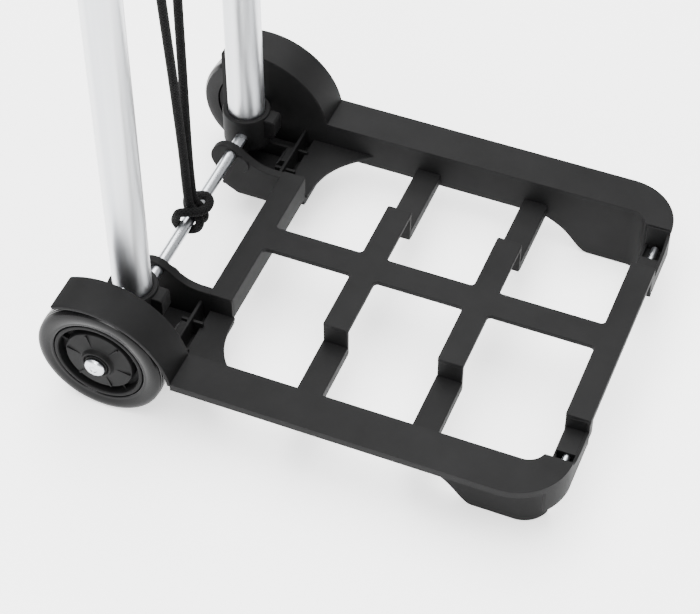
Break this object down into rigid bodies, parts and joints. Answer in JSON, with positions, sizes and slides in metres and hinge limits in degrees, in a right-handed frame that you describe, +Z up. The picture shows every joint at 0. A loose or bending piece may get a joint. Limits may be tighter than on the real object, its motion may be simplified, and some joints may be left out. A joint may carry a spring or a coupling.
{
  "type": "folding platform cart",
  "caption": "Folding hand cart with a low ladder-shaped plastic platform, fendered rear wheels and a telescoping twin-tube mast that folds flat over the deck.",
  "frame": {"origin": "bottom centre of the bounding box, on the ground under the middle of the cart", "axes": "+Z up along the upright mast, -Y towards the platform's free front edge, and X across the cart"},
  "size_m": [0.2808, 0.3468, 0.976],
  "materials": {
    "moulded_plastic": "matte black, fine moulded grain",
    "tyre_rubber": "semi-gloss black rubber with a glossier shoulder",
    "drawn_tube": "satin drawn finish with fine lengthwise lines",
    "zinc_steel": "bright zinc plate",
    "elastic_cord": "matte black braid",
    "soft_grip": "soft matte black"
  },
  "bodies": {
    "platform": {"rail_left": "moulded_plastic", "rail_right": "moulded_plastic", "corner_left": "moulded_plastic", "corner_right": "moulded_plastic", "fender_left": "moulded_plastic", "fender_right": "moulded_plastic", "bracket_left": "moulded_plastic", "bracket_right": "moulded_plastic", "rear_step_left": "moulded_plastic", "rear_step_right": "moulded_plastic", "mid_step_left": "moulded_plastic", "mid_step_right": "moulded_plastic", "fore_step_left": "moulded_plastic", "fore_step_right": "moulded_plastic", "nose_step_left": "moulded_plastic", "nose_step_right": "moulded_plastic", "axle_left": "zinc_steel", "axle_right": "zinc_steel", "axle_cap_left": "zinc_steel", "axle_cap_right": "zinc_steel", "rear_bar": "moulded_plastic", "mid_bar": "moulded_plastic", "fore_bar": "moulded_plastic", "nose_bar": "moulded_plastic", "nose_rod": "zinc_steel", "spine_rear": "moulded_plastic", "spine_mid": "moulded_plastic", "spine_fore": "moulded_plastic", "hinge_rod": "zinc_steel"},
    "wheel_left": {"tyre_left": "tyre_rubber", "hub_left": "moulded_plastic"},
    "wheel_right": {"tyre_right": "tyre_rubber", "hub_right": "moulded_plastic"},
    "mast": {"socket_left": "moulded_plastic", "socket_right": "moulded_plastic", "lower_tube_left": "drawn_tube", "lower_tube_right": "drawn_tube", "cord_strand_left": "elastic_cord", "cord_strand_right": "elastic_cord", "cord_hook_left": "zinc_steel", "cord_hook_right": "zinc_steel", "lower_bridge": "moulded_plastic", "cord_hitch": "elastic_cord"},
    "middle_stage": {"middle_tube_left": "drawn_tube", "middle_tube_right": "drawn_tube", "middle_bridge": "moulded_plastic"},
    "handle_stage": {"upper_tube_left": "drawn_tube", "upper_tube_right": "drawn_tube", "grip_left": "soft_grip", "grip_right": "soft_grip", "handle": "moulded_plastic"},
    "release_button": {"release_button": "moulded_plastic"}
  },
  "joints": [
    {"name": "wheel_left_spin", "type": "hinge", "parent": "platform", "child": "wheel_left", "pos_m": [-0.1255, 0.13025, 0.0431], "axis": [1, 0, 0], "continuous": true},
    {"name": "wheel_right_spin", "type": "hinge", "parent": "platform", "child": "wheel_right", "pos_m": [0.1255, 0.13025, 0.0431], "axis": [1, 0, 0], "continuous": true},
    {"name": "mast_fold", "type": "hinge", "parent": "platform", "child": "mast", "pos_m": [0, 0.12285, 0.059], "axis": [1, 0, 0], "range_deg": [0, 90]},
    {"name": "middle_slide", "type": "slide", "parent": "mast", "child": "middle_stage", "axis": [0, 0, 1], "range_m": [-0.26, 0]},
    {"name": "handle_slide", "type": "slide", "parent": "middle_stage", "child": "handle_stage", "axis": [0, 0, 1], "range_m": [-0.225, 0]},
    {"name": "button_press", "type": "slide", "parent": "handle_stage", "child": "release_button", "axis": [0, 0, -1], "range_m": [0, 0.005], "stiffness_N_per_m": 600, "springref_m": -0.002}
  ]
}
